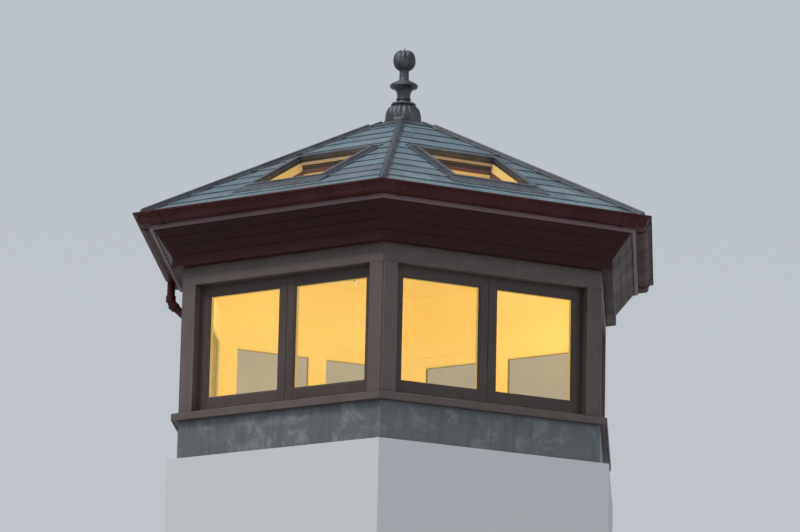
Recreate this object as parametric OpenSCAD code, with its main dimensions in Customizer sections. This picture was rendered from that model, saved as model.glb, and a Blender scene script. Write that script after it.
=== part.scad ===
// Hexagonal roof cupola: a slated lantern with windows all round, a cast gutter
// and a lead ball finial. Millimetres, +Z up. The origin is the centre of the
// underside of the kerb. One corner faces -Y, and one side faces +X.

/* [Plan] */
// Wall, across the flats of the corner posts
wall_across = 2800; // [2300:10:3600]

/* [Kerb and sill] */
// Height of the kerb that stands on the roof
kerb_h = 260; // [150:5:450]
// Thickness of the kerb
kerb_t = 125; // [90:5:180]
// Thickness of the lead dressed over the kerb
lead_t = 5; // [3:1:8]
// Height of the sill
sill_h = 60; // [45:1:90]
// Reach of the sill past the wall
sill_out = 45; // [25:1:60]

/* [Windows] */
// Height of the window frames
window_h = 860; // [600:10:1300]
// Lights on each side
lights = 2; // [1:1:3]
// Width of the fixed frame round the lights
jamb_w = 10; // [6:1:20]
// Width of the stiles and the head of a light
stile_w = 56; // [45:1:80]
// Height of the bottom rail of a light
rail_h = 80; // [60:1:120]
// Thickness of the fixed frame
frame_t = 56; // [48:1:59]
// Depth of the frames behind the face of the posts
recess = 66; // [30:1:69]
// Depth of the lights behind the face of the fixed frame
light_back = 5; // [2:1:8]
// Joint between two lights side by side
light_gap = 3; // [2:1:8]
// Thickness of a sealed glass unit
glass_t = 20; // [6:1:28]
// Depth of the groove that holds the glass
groove = 12; // [8:1:18]

/* [Posts and frieze] */
// Width of each face of a corner post
post_face = 108; // [95:1:150]
// Depth of the posts and the frieze
post_d = 125; // [122:1:160]
// Radius of the hollow along the arris of a post
arris_r = 9; // [5:1:14]
// Height of the frieze
frieze_h = 120; // [80:1:180]

/* [Eaves] */
// Thickness of the wall plate over the frieze
plate_t = 75; // [50:1:100]
// Reach of the ledge over the frieze
ledge_out = 70; // [40:1:110]
// Height of the ledge
ledge_h = 73; // [40:1:110]
// Reach of the fascia past the wall
eaves_out = 221; // [180:1:300]
// Height of the fascia's foot above the frieze
eaves_rise = 239; // [180:1:300]
// Thickness of the fascia
fascia_t = 25; // [18:1:32]
// Height of the fascia
fascia_h = 107; // [95:1:160]
// Depth of the fascia's drip below the soffit
drip = 6; // [3:1:12]
// Thickness of the soffit boards
board_t = 20; // [12:1:28]

/* [Gutter] */
// Width of the gutter over its lip
gutter_w = 107; // [90:1:130]
// Height of the gutter
gutter_h = 75; // [60:1:90]
// Thickness of the iron
iron_t = 5; // [4:0.5:7]
// Flat width of the gutter's bottom
gutter_flat = 45; // [35:1:60]
// Height of the gutter's lip above its moulded front
lip_h = 12; // [8:1:18]
// Drop from the fascia's top to the gutter's lip
lip_drop = 7; // [7:1:20]
// Width of a socket that joins two lengths of gutter
union_w = 40; // [30:2:50]
// Thickness of a gutter socket
union_t = 4; // [3:1:6]
// Distance from a corner of the fascia to the middle of a gutter socket
union_at = 120; // [90:5:125]

/* [Downpipe] */
// Diameter of the downpipe
pipe_d = 56; // [50:1:70]
// Thickness of the downpipe's iron
pipe_t = 5; // [3:0.5:7]
// Thickness of a socket round the downpipe
socket_t = 7; // [5:1:10]
// Length of a socket
socket_l = 44; // [36:2:60]
// Drop from the gutter to the swan neck
neck_drop = 120; // [90:5:180]
// Radius of the bends, to the middle of the pipe
bend_r = 70; // [55:1:100]
// Slope of the swan neck below the level
neck_slope = 42; // [35:1:55]
// Gap between the downpipe and the wall
pipe_gap = 54; // [48:1:70]
// Gap between the top socket and the fascia
outlet_gap = 4; // [2:1:10]
// Brackets that hold the downpipe
brackets = 2; // [1:1:3]
// Distance of the downpipe from the corner of the wall
pipe_side = 60; // [50:1:90]
// Height of the pipe's end above the foot of the kerb
pipe_end = 70; // [50:5:150]

/* [Roof] */
// Pitch of the slopes
pitch = 29.5; // [22:0.5:40]
// Reach of the slates past the fascia
slate_out = 59; // [40:1:75]
// Thickness of slates and boarding at the eaves
deck_t = 26; // [20:1:36]
// Thickness of the roof down to the ceiling
roof_t = 170; // [140:5:220]
// Thickness of the ceiling
ceiling_t = 15; // [9:1:25]
// Across the flats of the boss at the apex
boss_across = 180; // [140:5:200]
// Depth of the boss below the ceiling
boss_drop = 30; // [15:1:60]
// Width of the lead on each side of a hip
hip_w = 30; // [24:1:60]
// Thickness of the lead on the hips and the apex
hip_t = 4; // [3:1:8]
// Radius of the roll on a hip
roll_r = 12; // [10:1:20]
// Across the flats of the lead cap
cap_across = 442; // [360:1:560]

/* [Rooflights] */
// Width of the glass of a rooflight
light_w = 560; // [400:10:640]
// Length of the glass of a rooflight, down the slope
light_l = 620; // [400:10:680]
// Gap between the foot of a rooflight's lining and the wall plate
light_foot = 3; // [1:1:60]
// Width of a rooflight's frame
light_frame = 45; // [35:1:60]
// Height of a rooflight's frame above the slates
light_up = 16; // [10:1:45]
// Depth of a rooflight's frame below the slates
light_down = 60; // [45:1:90]
// Depth of the glass below the slates
light_sunk = 6; // [0:1:12]
// Width of the outer frame that shows round the sash of a rooflight
light_rim = 13; // [8:1:20]
// Height of the sash above the outer frame
light_step = 6; // [3:1:9]

/* [Finial] */
// Diameter of the finial's base
base_d = 264; // [220:2:300]
// Height of the plain foot of the base
foot_h = 24; // [16:1:34]
// Height of the lobed dome over the foot
dome_h = 108; // [80:1:130]
// Lobes round the dome
dome_lobes = 16; // [8:1:20]
// Width of the flat lead round the base
seat_w = 9; // [4:1:20]
// Depth of the grooves between the lobes
lobe_d = 8; // [4:1:11]
// Diameter of the ring on the dome
ring_d = 174; // [150:2:190]
// Thickness of the ring
ring_t = 22; // [14:1:28]
// Diameter of the stem at its waist
waist_d = 90; // [70:2:110]
// Diameter of the bead at the foot of the stem
bead_d = 104; // [92:2:124]
// Height of the stem from the ring to the collar
stem_h = 114; // [95:1:140]
// Diameter of the collar
collar_d = 194; // [160:2:220]
// Thickness of the collar's edge
collar_t = 22; // [16:1:30]
// Height from the collar's edge up to the neck
hollow_h = 46; // [35:1:60]
// Diameter of the neck
neck_d = 66; // [50:1:75]
// Height of the neck up to the ball
neck_h = 54; // [35:1:80]
// Diameter of the ball
ball_d = 158; // [130:2:180]
// Lobes round the ball
ball_lobes = 10; // [6:1:14]
// Height of the spike above the lobes of the ball
spike_h = 17; // [8:1:40]

/* [Hidden] */

sides = 6;
turn = 360 / sides;
half = turn / 2;
// Play round a piece of glass in its groove
play = 0.3;
// Gap between the lead cap and the lead on the hips
hip_gap = 2;
// How far short of a joint a pipe ends inside its socket
pipe_short = 2;
// Longer than anything that is cut to length
far = wall_across * 2;
// What cuts a hole in the roof reaches this far past both of its faces
roof_cut = roof_t * 2;
through = 1;
fine = 64;

wall_a = wall_across / 2;
inner_a = wall_a - post_d;
kerb_inner_a = wall_a - kerb_t;
lead_a = wall_a - lead_t;
ledge_a = wall_a + ledge_out;
fascia_a = wall_a + eaves_out;
fascia_in_a = fascia_a - fascia_t;
eave_a = fascia_a + slate_out;
plate_a = wall_a - plate_t;
boss_a = boss_across / 2;
socket_d = pipe_d + 2 * socket_t;
seat_a = base_d / 2 + seat_w;
cap_a = cap_across / 2;

window_z = kerb_h + sill_h;
frieze_z = window_z + window_h;
ledge_z = frieze_z + frieze_h;
soffit_z = ledge_z + ledge_h;
fascia_z = ledge_z + eaves_rise;

// Length of one side of the wall, and what lies between two posts
side_l = 2 * wall_a * tan(half);
bay_l = side_l - 2 * post_face;
light_l_out = (bay_l - 2 * jamb_w - (lights - 1) * light_gap) / lights;
light_h_out = window_h - 2 * jamb_w;
light_t = frame_t - light_back;
// The size of the opening in a light
sight_w = light_l_out - 2 * stile_w;
sight_h = light_h_out - stile_w - rail_h;

// The deck lies on the fascia's top, and that sets the height of the apex
fascia_top = fascia_z + fascia_h;
apex_z = fascia_top + fascia_a * tan(pitch) + deck_t / cos(pitch);
flat_z = apex_z - seat_a * tan(pitch);
finial_z = flat_z + hip_t;
eave_z = roof_z(eave_a, 0);
lip_z = fascia_top - lip_drop;
gutter_z = lip_z - gutter_h;

// The rooflights stand as low on the slopes as the wall plate lets them
light_end = (plate_a - light_foot + roof_t * sin(pitch)) / cos(pitch);
light_from = light_end - light_frame - light_l;

// Height of the roof at a distance from the axis, some depth below the slates
function roof_z(a, depth) = apex_z - a * tan(pitch) - depth / cos(pitch);

// Turns a piece drawn on the +X side to another side
module on_side(number) {
    rotate([0, 0, number * turn]) children();
}

// Turns a piece drawn on a corner at +X to another corner
module on_corner(number) {
    rotate([0, 0, number * turn + half]) children();
}

// Lays a piece on a slope: X runs down from the apex, Z stands off the slates
module on_slope(number) {
    on_side(number)
        translate([0, 0, apex_z])
            rotate([0, pitch, 0])
                children();
}

// A hexagon with flat sides facing +X and -X
module hexagon(a) {
    rotate(half) circle(r = a / cos(half), $fn = sides);
}

// A straight ring between two hexagons
module ring(a_out, a_in, h) {
    linear_extrude(h)
        difference() {
            hexagon(a_out);
            hexagon(a_in);
        }
}

// Carries a section round all six sides; its X is the distance to a flat
module around() {
    rotate([0, 0, half])
        rotate_extrude($fn = sides)
            scale([1 / cos(half), 1])
                children();
}

// The sixth of the plan that belongs to the +X side
module sector() {
    polygon([[0, 0], [far, -far * tan(half)], [far, far * tan(half)]]);
}

// Runs a section along the +X side and mitres both of its ends
module run_mitred(z_from, z_to) {
    intersection() {
        rotate([90, 0, 0])
            linear_extrude(far, center = true)
                children();
        translate([0, 0, z_from])
            linear_extrude(z_to - z_from)
                sector();
    }
}

// Walls

module kerb() {
    color("peru") ring(lead_a, kerb_inner_a, kerb_h);
}

module kerb_lead() {
    lap = 12;
    color("slategray")
        translate([0, 0, lap])
            ring(wall_a, lead_a, kerb_h - lap);
}

module sill_section() {
    weathering = 14;
    groove_w = 8;
    nose = wall_a + sill_out;
    difference() {
        polygon([
            [kerb_inner_a, kerb_h],
            [nose, kerb_h],
            [nose, window_z - weathering],
            [wall_a, window_z],
            [kerb_inner_a, window_z]
        ]);
        translate([nose - 2 * groove_w, kerb_h])
            square(groove_w, center = true);
    }
}

module sill() {
    color("rosybrown") around() sill_section();
}

module post_plan() {
    corner = wall_a / cos(half);
    intersection() {
        rotate(-half)
            difference() {
                hexagon(wall_a);
                hexagon(inner_a);
            }
        for (hand = [-1, 1])
            translate([corner, 0])
                rotate(hand * (90 + half))
                    translate([0, hand > 0 ? 0 : -post_d])
                        square([post_face, post_d]);
    }
}

module corner_posts() {
    color("rosybrown")
        for (corner = [0 : sides - 1])
            on_corner(corner)
                translate([0, 0, window_z])
                    difference() {
                        linear_extrude(window_h) post_plan();
                        translate([wall_a / cos(half), 0, -through])
                            cylinder(r = arris_r, h = window_h + 2 * through, $fn = fine);
                    }
}

// Places a piece in the middle of each light of the +X side
module each_light() {
    for (light = [0 : lights - 1]) {
        offset = (light - (lights - 1) / 2) * (light_l_out + light_gap);
        translate([wall_a - recess - frame_t, offset, window_z + jamb_w])
            children();
    }
}

module fixed_frame() {
    translate([wall_a - recess - frame_t, 0, window_z])
        difference() {
            translate([0, -bay_l / 2, 0])
                cube([frame_t, bay_l, window_h]);
            translate([-through, jamb_w - bay_l / 2, jamb_w])
                cube([frame_t + 2 * through, bay_l - 2 * jamb_w, light_h_out]);
        }
}

module window_light() {
    difference() {
        translate([0, -light_l_out / 2, 0])
            cube([light_t, light_l_out, light_h_out]);
        translate([-through, -sight_w / 2, rail_h])
            cube([frame_t + 2 * through, sight_w, sight_h]);
        translate([(light_t - glass_t) / 2 - play, -sight_w / 2 - groove, rail_h - groove])
            cube([glass_t + 2 * play, sight_w + 2 * groove, sight_h + 2 * groove]);
    }
}

module window_pane() {
    pane_w = sight_w + 2 * (groove - play);
    pane_h = sight_h + 2 * (groove - play);
    translate([(light_t - glass_t) / 2, -pane_w / 2, rail_h - groove + play])
        cube([glass_t, pane_w, pane_h]);
}

module window(number) {
    color("sienna")
        on_side(number) {
            fixed_frame();
            each_light() window_light();
        }
}

module window_glass(number) {
    color("khaki", 0.5) on_side(number) each_light() window_pane();
}

module frieze() {
    color("rosybrown")
        translate([0, 0, frieze_z])
            ring(wall_a, inner_a, frieze_h);
}

module wall_plate() {
    color("peru")
        around()
            polygon([
                [plate_a, ledge_z],
                [wall_a, ledge_z],
                [wall_a, roof_z(wall_a, roof_t)],
                [plate_a, roof_z(plate_a, roof_t)]
            ]);
}

// Eaves

module ledge() {
    color("saddlebrown")
        translate([0, 0, ledge_z])
            ring(ledge_a, wall_a, ledge_h);
}

module soffit() {
    foot = [ledge_a, soffit_z];
    head = [fascia_in_a, fascia_z + drip];
    slope = atan2(head.y - foot.y, head.x - foot.x);
    color("saddlebrown")
        around()
            polygon([
                foot,
                head,
                head + [0, board_t / cos(slope)],
                foot - [board_t / sin(slope), 0]
            ]);
}

module fascia() {
    color("rosybrown")
        around()
            polygon([
                [fascia_in_a, fascia_z],
                [fascia_a, fascia_z],
                [fascia_a, roof_z(fascia_a, deck_t)],
                [fascia_in_a, roof_z(fascia_in_a, deck_t)]
            ]);
}

// The moulded front of the gutter: a belly below and a hollow above it.
// The inside runs at the iron's thickness behind the outside.
function gutter_front(inset) =
    let (
        steps = 8,
        hollow_x = gutter_w - iron_t,
        arc_w = (hollow_x - gutter_flat) / 2,
        arc_h = (gutter_h - lip_h) / 2
    )
    [
        for (step = [0 : steps])
            let (angle = 90 * step / steps)
            [gutter_flat + (arc_w - inset) * sin(angle), arc_h - (arc_h - inset) * cos(angle)],
        for (step = [1 : steps])
            let (angle = 90 * step / steps)
            [hollow_x - (arc_w + inset) * cos(angle), arc_h + (arc_h + inset) * sin(angle)]
    ];

module gutter_outline() {
    polygon(concat(
        [[0, gutter_h], [0, 0]],
        gutter_front(0),
        [[gutter_w, gutter_h - lip_h], [gutter_w, gutter_h]]
    ));
}

module gutter_section() {
    difference() {
        gutter_outline();
        polygon(concat(
            [[iron_t, gutter_h + through], [iron_t, iron_t]],
            gutter_front(iron_t),
            [[gutter_w - iron_t, gutter_h + through]]
        ));
    }
}

// A socket wraps the outside of the gutter, up to its lip
module gutter_union() {
    rotate([90, 0, 0])
        linear_extrude(union_w, center = true)
            difference() {
                polygon(concat(
                    [[0, gutter_h - lip_h], [0, -union_t]],
                    gutter_front(-union_t),
                    [[gutter_w - iron_t, gutter_h - lip_h]]
                ));
                gutter_outline();
            }
}

module gutter(number) {
    union_y = fascia_a * tan(half) - union_at;
    color("maroon")
        on_side(number) {
            run_mitred(gutter_z - through, lip_z + through)
                translate([fascia_a, gutter_z])
                    gutter_section();
            for (hand = [-1, 1])
                translate([fascia_a, hand * union_y, gutter_z])
                    gutter_union();
        }
}

// Straight pipe along +Z, a little short at each end of what its sockets span
module pipe(l) {
    translate([0, 0, pipe_short])
        cylinder(d = pipe_d, h = l - 2 * pipe_short, $fn = fine);
}

// A socket round a joint at the origin, along Z
module socket() {
    cylinder(d = socket_d, h = socket_l, center = true, $fn = fine);
}

// A bend that leaves the origin along -Z and turns towards -X
module bend(angle) {
    translate([-bend_r, 0, 0])
        rotate([-90, 0, 0])
            rotate_extrude(angle = angle, $fn = fine)
                translate([bend_r, 0])
                    circle(d = pipe_d, $fn = fine);
}

// A collar round the pipe and the arm that carries it off the wall
module pipe_bracket() {
    arm = 22;
    cylinder(d = socket_d, h = socket_l / 2, center = true, $fn = fine);
    translate([-pipe_gap - pipe_d / 2, -arm / 2, -arm / 2])
        cube([pipe_gap + pipe_d / 2, arm, arm]);
}

// The pipe drops from the gutter, swings in under the eaves and runs down the
// wall. Its bends, sockets and straight lengths are drawn from the top joint.
module swan_neck(top_a, foot_a) {
    angle = 90 - neck_slope;
    bend_in = bend_r * (1 - cos(angle));
    bend_down = bend_r * sin(angle);
    slant = (top_a - foot_a - 2 * bend_in) / sin(angle);
    slant_z = -bend_down - slant * cos(angle);
    foot_z = slant_z - bend_down;
    foot_l = gutter_z - neck_drop + foot_z - pipe_end;
    bracket_step = foot_l / (brackets + 1);
    translate([0, 0, -pipe_short]) bend(angle);
    socket();
    translate([-bend_in, 0, -bend_down])
        rotate([0, 180 + angle, 0]) {
            socket();
            pipe(slant);
            translate([0, 0, slant]) socket();
        }
    translate([foot_a - top_a, 0, foot_z]) {
        translate([0, 0, pipe_short])
            mirror([0, 0, 1])
                mirror([1, 0, 0])
                    bend(angle);
        socket();
        translate([0, 0, -foot_l]) pipe(foot_l);
        for (bracket = [1 : brackets])
            translate([0, 0, -bracket * bracket_step]) pipe_bracket();
    }
}

module downpipe() {
    top_a = fascia_a + outlet_gap + socket_d / 2;
    foot_a = wall_a + pipe_gap + pipe_d / 2;
    joint_z = gutter_z - neck_drop;
    color("maroon")
        on_side(3)
            translate([0, pipe_side - side_l / 2, 0])
                difference() {
                    translate([top_a, 0, joint_z]) {
                        swan_neck(top_a, foot_a);
                        pipe(lip_z - joint_z);
                    }
                    translate([fascia_a, 0, gutter_z - play])
                        rotate([90, 0, 0])
                            linear_extrude(socket_d, center = true)
                                gutter_outline();
                    translate([foot_a, 0, 0])
                        cylinder(d = pipe_d - 2 * pipe_t, h = 2 * pipe_end, $fn = fine);
                }
}

// Roof

module roof_section() {
    polygon([
        [boss_a, roof_z(boss_a, 0)],
        [eave_a, eave_z],
        [eave_a, roof_z(eave_a, deck_t)],
        [wall_a, roof_z(wall_a, deck_t)],
        [wall_a, roof_z(wall_a, roof_t)],
        [boss_a, roof_z(boss_a, roof_t)]
    ]);
}

// The hole for a rooflight, or a block that fills it, between two depths
module rooflight_block(edge, z_from, z_to) {
    translate([light_from - edge, -light_w / 2 - edge, z_from])
        cube([light_l + 2 * edge, light_w + 2 * edge, z_to - z_from]);
}

module roof_slope(number) {
    color("steelblue")
        difference() {
            on_side(number)
                run_mitred(ledge_z, apex_z)
                    roof_section();
            on_slope(number)
                rooflight_block(light_frame, -roof_cut, roof_cut);
            translate([0, 0, flat_z]) cylinder(r = cap_a, h = apex_z);
        }
}

module ceiling() {
    color("wheat")
        difference() {
            around()
                polygon([
                    [boss_a, roof_z(boss_a, roof_t)],
                    [plate_a, roof_z(plate_a, roof_t)],
                    [plate_a, roof_z(plate_a, roof_t + ceiling_t)],
                    [boss_a, roof_z(boss_a, roof_t + ceiling_t)]
                ]);
            for (number = [0 : sides - 1])
                on_slope(number)
                    rooflight_block(light_frame, -roof_cut, -light_down);
        }
}

module apex_boss() {
    low = roof_z(boss_a, roof_t + ceiling_t) - boss_drop;
    color("peru")
        translate([0, 0, low])
            linear_extrude(flat_z - low)
                hexagon(boss_a);
}

module hip_rolls() {
    reach = eave_a / cos(half);
    hip_slope = atan(tan(pitch) * cos(half));
    start = (cap_a + hip_gap) / cos(half);
    color("slategray")
        for (corner = [0 : sides - 1])
            on_corner(corner)
                union() {
                    intersection() {
                        rotate([0, 0, -half])
                            around()
                                polygon([
                                    [cap_a, roof_z(cap_a, 0)],
                                    [eave_a, roof_z(eave_a, 0)],
                                    [eave_a, roof_z(eave_a, -hip_t)],
                                    [cap_a, roof_z(cap_a, -hip_t)]
                                ]);
                        translate([start, -hip_w, ledge_z])
                            cube([reach, 2 * hip_w, apex_z]);
                    }
                    translate([0, 0, apex_z + (roll_r + play) / cos(hip_slope)])
                        rotate([0, 90 + hip_slope, 0])
                            translate([0, 0, start / cos(hip_slope)])
                                cylinder(r = roll_r, h = (reach - start) / cos(hip_slope), $fn = fine);
                }
}

module apex_cap() {
    color("slategray")
        around()
            polygon([
                [0, flat_z],
                [seat_a, flat_z],
                [cap_a, roof_z(cap_a, 0)],
                [cap_a, roof_z(cap_a, -hip_t)],
                [seat_a, finial_z],
                [0, finial_z]
            ]);
}

// Rooflights

module rooflight_frames() {
    color("dimgray")
        for (number = [0 : sides - 1])
            on_slope(number)
                difference() {
                    union() {
                        rooflight_block(light_frame, -light_down, light_up - light_step);
                        rooflight_block(light_frame - light_rim, -light_down, light_up);
                    }
                    rooflight_block(0, -light_down - through, light_up + through);
                    rooflight_block(groove, -light_sunk - glass_t - play, -light_sunk + play);
                }
}

module rooflight_glass() {
    color("khaki", 0.5)
        for (number = [0 : sides - 1])
            on_slope(number)
                rooflight_block(groove - play, -light_sunk - glass_t, -light_sunk);
}

module rooflight_linings() {
    color("wheat")
        for (number = [0 : sides - 1])
            on_slope(number)
                difference() {
                    rooflight_block(light_frame, -roof_t - ceiling_t, -light_down);
                    rooflight_block(0, -roof_cut, -light_down + through);
                }
}

// Finial

dome_z = finial_z + foot_h;
ring_z = dome_z + dome_h;
stem_z = ring_z + ring_t;
collar_z = stem_z + stem_h;
neck_z = collar_z + collar_t + hollow_h;

// The ball is a little flat below its middle and a little full above it
low_share = 0.46;
high_share = 0.51;
ball_low = ball_d * low_share;
ball_high = ball_d * high_share;
ball_foot = acos(neck_d / ball_d);
ball_z = neck_z + neck_h + ball_low * sin(ball_foot);

// A quarter of an ellipse from one point to another. It leaves the first point
// upright where upright is true, and level where it is not.
function quarter(from, to, upright) = [
    for (angle = [0 : 9 : 90])
        upright
            ? [to.x + (from.x - to.x) * cos(angle), from.y + (to.y - from.y) * sin(angle)]
            : [from.x + (to.x - from.x) * sin(angle), to.y + (from.y - to.y) * cos(angle)]
];

// A turned form gathered into upright lobes. Each row gives the radius on the
// lobes, the height in the grooves, the depth of the grooves and the rise of
// the lobes between them. The first and the last row are flat.
module lobed(rows, lobes, points_each) {
    count = lobes * points_each;
    top = (len(rows) - 1) * count;
    points = [
        for (row = rows, k = [0 : count - 1])
            let (
                swell = sin(180 * (k % points_each) / points_each),
                r = row[0] - row[2] * (1 - swell),
                angle = 360 * k / count
            )
            [r * cos(angle), r * sin(angle), row[1] + row[3] * swell]
    ];
    skin = [
        for (row = [0 : len(rows) - 2], k = [0 : count - 1])
            let (low = row * count, next = (k + 1) % count)
            [low + k, low + count + k, low + count + next, low + next]
    ];
    polyhedron(points, concat(
        [[for (k = [0 : count - 1]) k]],
        skin,
        [[for (k = [count - 1 : -1 : 0]) top + k]]
    ));
}

// The dome stands almost upright over its foot and turns in over a square
// shoulder to the ring
module finial_base() {
    shoulder = 0.77;
    points_each = 6;
    core_r = 60;
    steps = 9;
    last = 80;
    ease_r = 3;
    foot_r = base_d / 2;
    reach = foot_r - 2 * ease_r - core_r;
    sunk = [[core_r + reach, dome_z - ease_r, 0, 0]];
    rows = [
        for (step = [0 : steps])
            let (angle = last * step / steps)
            [
                core_r + reach * pow(cos(angle), shoulder),
                dome_z + dome_h * pow(sin(angle), shoulder) / pow(sin(last), shoulder),
                lobe_d * sqrt(sin(180 * (step + 0.5) / (steps + 1))),
                0
            ]
    ];
    color("slategray") {
        rotate_extrude($fn = fine)
            polygon([
                [0, finial_z],
                [foot_r, finial_z],
                [foot_r, dome_z - ease_r],
                [foot_r - ease_r, dome_z],
                [0, dome_z]
            ]);
        lobed(concat(sunk, rows), dome_lobes, points_each);
    }
}

// A half round of the given radius that bulges from an upright face
function bead(x, z, r) = [
    for (angle = [-75 : 25 : 75])
        [x + r * cos(angle), z + r * sin(angle)]
];

module finial_stem() {
    bead_share = 0.26;
    waist_share = 0.44;
    shoulder_share = 0.58;
    hollow_share = 0.45;
    waist_r = waist_d / 2;
    bead_r = 8;
    ring_r = ring_d / 2 - ring_t / 2;
    bead_x = bead_d / 2 - bead_r;
    bead_z = stem_z + stem_h * bead_share;
    waist_z = stem_z + stem_h * waist_share;
    collar_r = collar_d / 2;
    ease = collar_t / 4;
    shoulder_r = collar_r * shoulder_share;
    shoulder_z = collar_z + collar_t + hollow_h * hollow_share;
    color("slategray")
        rotate_extrude($fn = fine)
            polygon(concat(
                [[0, ring_z], [ring_r, ring_z]],
                bead(ring_r, ring_z + ring_t / 2, ring_t / 2),
                [[ring_r, stem_z]],
                quarter([bead_x + 2 * bead_r, stem_z], [bead_x, bead_z - bead_r], false),
                bead(bead_x, bead_z, bead_r),
                quarter([bead_x, bead_z + bead_r], [waist_r, waist_z], false),
                quarter([waist_r, waist_z], [collar_r - ease, collar_z], true),
                [
                    [collar_r, collar_z + ease],
                    [collar_r, collar_z + collar_t - ease],
                    [collar_r - ease, collar_z + collar_t]
                ],
                quarter([shoulder_r, shoulder_z], [neck_d / 2, neck_z], false),
                [[neck_d / 2, neck_z + neck_h - play], [0, neck_z + neck_h - play]]
            ));
}

// The lobes of the ball end in free tips that stand round a bud and a spike.
// A tip is given by its radius and height as shares of the ball's, and by how
// much of the groove beside it is left.
module finial_ball() {
    full = 0.78;
    steps = 7;
    points_each = 8;
    last = 60;
    r = ball_d / 2;
    groove_d = lobe_d * 1.6;
    floor_share = 0.64;
    floor_z = ball_high * floor_share;
    tip = [[0.54, 0.94, 1], [0.46, 0.93, 1], [0.40, 0.86, 0.7], [0.36, 0.72, 0.5], [0.27, floor_share, 0]];
    below = [
        for (step = [0 : steps])
            let (angle = ball_foot * (step / steps - 1))
            [r * cos(angle), ball_low * sin(angle), step == 0 ? 0 : lobe_d * pow(cos(angle), 2), 0]
    ];
    above = [
        for (step = [1 : steps])
            let (
                angle = last * step / steps,
                part = pow(step / steps, 4),
                z = ball_high * pow(sin(angle), full),
                rise = part * (z - floor_z)
            )
            [r * pow(cos(angle), full), z - rise, lobe_d + part * (groove_d - lobe_d), rise]
    ];
    tips = [
        for (row = tip)
            [r * row[0], floor_z, groove_d * row[2], ball_high * row[1] - floor_z]
    ];
    bud_r = r * 0.16;
    bud_z = ball_high * 0.8;
    spike_r = 6;
    spike_tip = 2;
    color("slategray")
        translate([0, 0, ball_z]) {
            lobed(concat(below, above, tips), ball_lobes, points_each);
            rotate_extrude($fn = fine)
                polygon(concat(
                    [[0, floor_z - spike_r], [bud_r, floor_z - spike_r]],
                    quarter([bud_r, bud_z], [spike_r, ball_high], true),
                    [[spike_tip, ball_high + spike_h], [0, ball_high + spike_h]]
                ));
        }
}

kerb();
kerb_lead();
sill();
corner_posts();
window(0);  // window_right
window(1);  // window_back_right
window(2);  // window_back_left
window(3);  // window_left
window(4);  // window_front_left
window(5);  // window_front_right
window_glass(0);  // glass_right
window_glass(1);  // glass_back_right
window_glass(2);  // glass_back_left
window_glass(3);  // glass_left
window_glass(4);  // glass_front_left
window_glass(5);  // glass_front_right
frieze();
wall_plate();
ledge();
soffit();
fascia();
gutter(0);  // gutter_right
gutter(1);  // gutter_back_right
gutter(2);  // gutter_back_left
gutter(3);  // gutter_left
gutter(4);  // gutter_front_left
gutter(5);  // gutter_front_right
downpipe();
roof_slope(0);  // roof_right
roof_slope(1);  // roof_back_right
roof_slope(2);  // roof_back_left
roof_slope(3);  // roof_left
roof_slope(4);  // roof_front_left
roof_slope(5);  // roof_front_right
ceiling();
apex_boss();
hip_rolls();
apex_cap();
rooflight_frames();
rooflight_linings();
rooflight_glass();
finial_base();
finial_stem();
finial_ball();
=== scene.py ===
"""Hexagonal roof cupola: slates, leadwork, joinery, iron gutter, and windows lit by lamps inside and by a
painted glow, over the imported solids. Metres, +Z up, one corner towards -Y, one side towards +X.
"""

import random
from math import acos, atan, atan2, ceil, cos, hypot, pi, radians, sin, sqrt, tan

import bmesh
import bpy
from mathutils import Matrix, Vector


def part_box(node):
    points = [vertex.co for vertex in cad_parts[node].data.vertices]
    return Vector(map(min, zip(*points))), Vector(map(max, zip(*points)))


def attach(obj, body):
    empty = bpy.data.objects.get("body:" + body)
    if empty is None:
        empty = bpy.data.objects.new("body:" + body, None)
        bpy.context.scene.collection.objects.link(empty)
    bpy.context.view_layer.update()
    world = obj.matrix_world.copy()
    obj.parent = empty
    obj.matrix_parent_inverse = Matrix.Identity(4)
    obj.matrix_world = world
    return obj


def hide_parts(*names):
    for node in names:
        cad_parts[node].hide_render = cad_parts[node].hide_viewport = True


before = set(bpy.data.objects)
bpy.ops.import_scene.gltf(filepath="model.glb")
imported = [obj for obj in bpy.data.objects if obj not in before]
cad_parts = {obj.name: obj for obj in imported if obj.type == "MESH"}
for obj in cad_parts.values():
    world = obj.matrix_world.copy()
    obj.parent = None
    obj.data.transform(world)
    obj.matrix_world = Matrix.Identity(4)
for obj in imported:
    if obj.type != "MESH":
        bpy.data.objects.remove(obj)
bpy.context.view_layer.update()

SIDES = 6
SIDE_NAMES = ["right", "back_right", "back_left", "left", "front_left", "front_right"]
TURN = radians(60)
MITRE = tan(TURN / 2)

# Sizes of the solids, read where a box gives them
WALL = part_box("frieze")[1].x
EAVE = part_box("roof_right")[1].x
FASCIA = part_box("fascia")[1].x
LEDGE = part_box("ledge")[1].x
KERB_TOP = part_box("kerb")[1].z
WINDOW_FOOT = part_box("sill")[1].z
WINDOW_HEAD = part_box("frieze")[0].z
FRIEZE_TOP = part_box("frieze")[1].z
FASCIA_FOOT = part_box("fascia")[0].z
FASCIA_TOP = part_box("fascia")[1].z
SOFFIT_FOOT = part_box("soffit")[0].z
SILL_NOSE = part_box("sill")[1].x
FRAME_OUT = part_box("window_right")[1].x
FRAME_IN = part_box("window_right")[0].x
GLASS_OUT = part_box("glass_right")[1].x
GLASS_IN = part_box("glass_right")[0].x
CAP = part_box("apex_cap")[1].x
CAP_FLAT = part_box("apex_cap")[1].z

# Walls and windows, where no box gives the size
POST_DEPTH = 0.125
POST_FACE = 0.108
ARRIS = 0.009
PLATE_T = 0.075
JAMB = 0.010
STILE = 0.056
RAIL = 0.080
LIGHT_BACK = 0.005
LIGHT_GAP = 0.003

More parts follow.
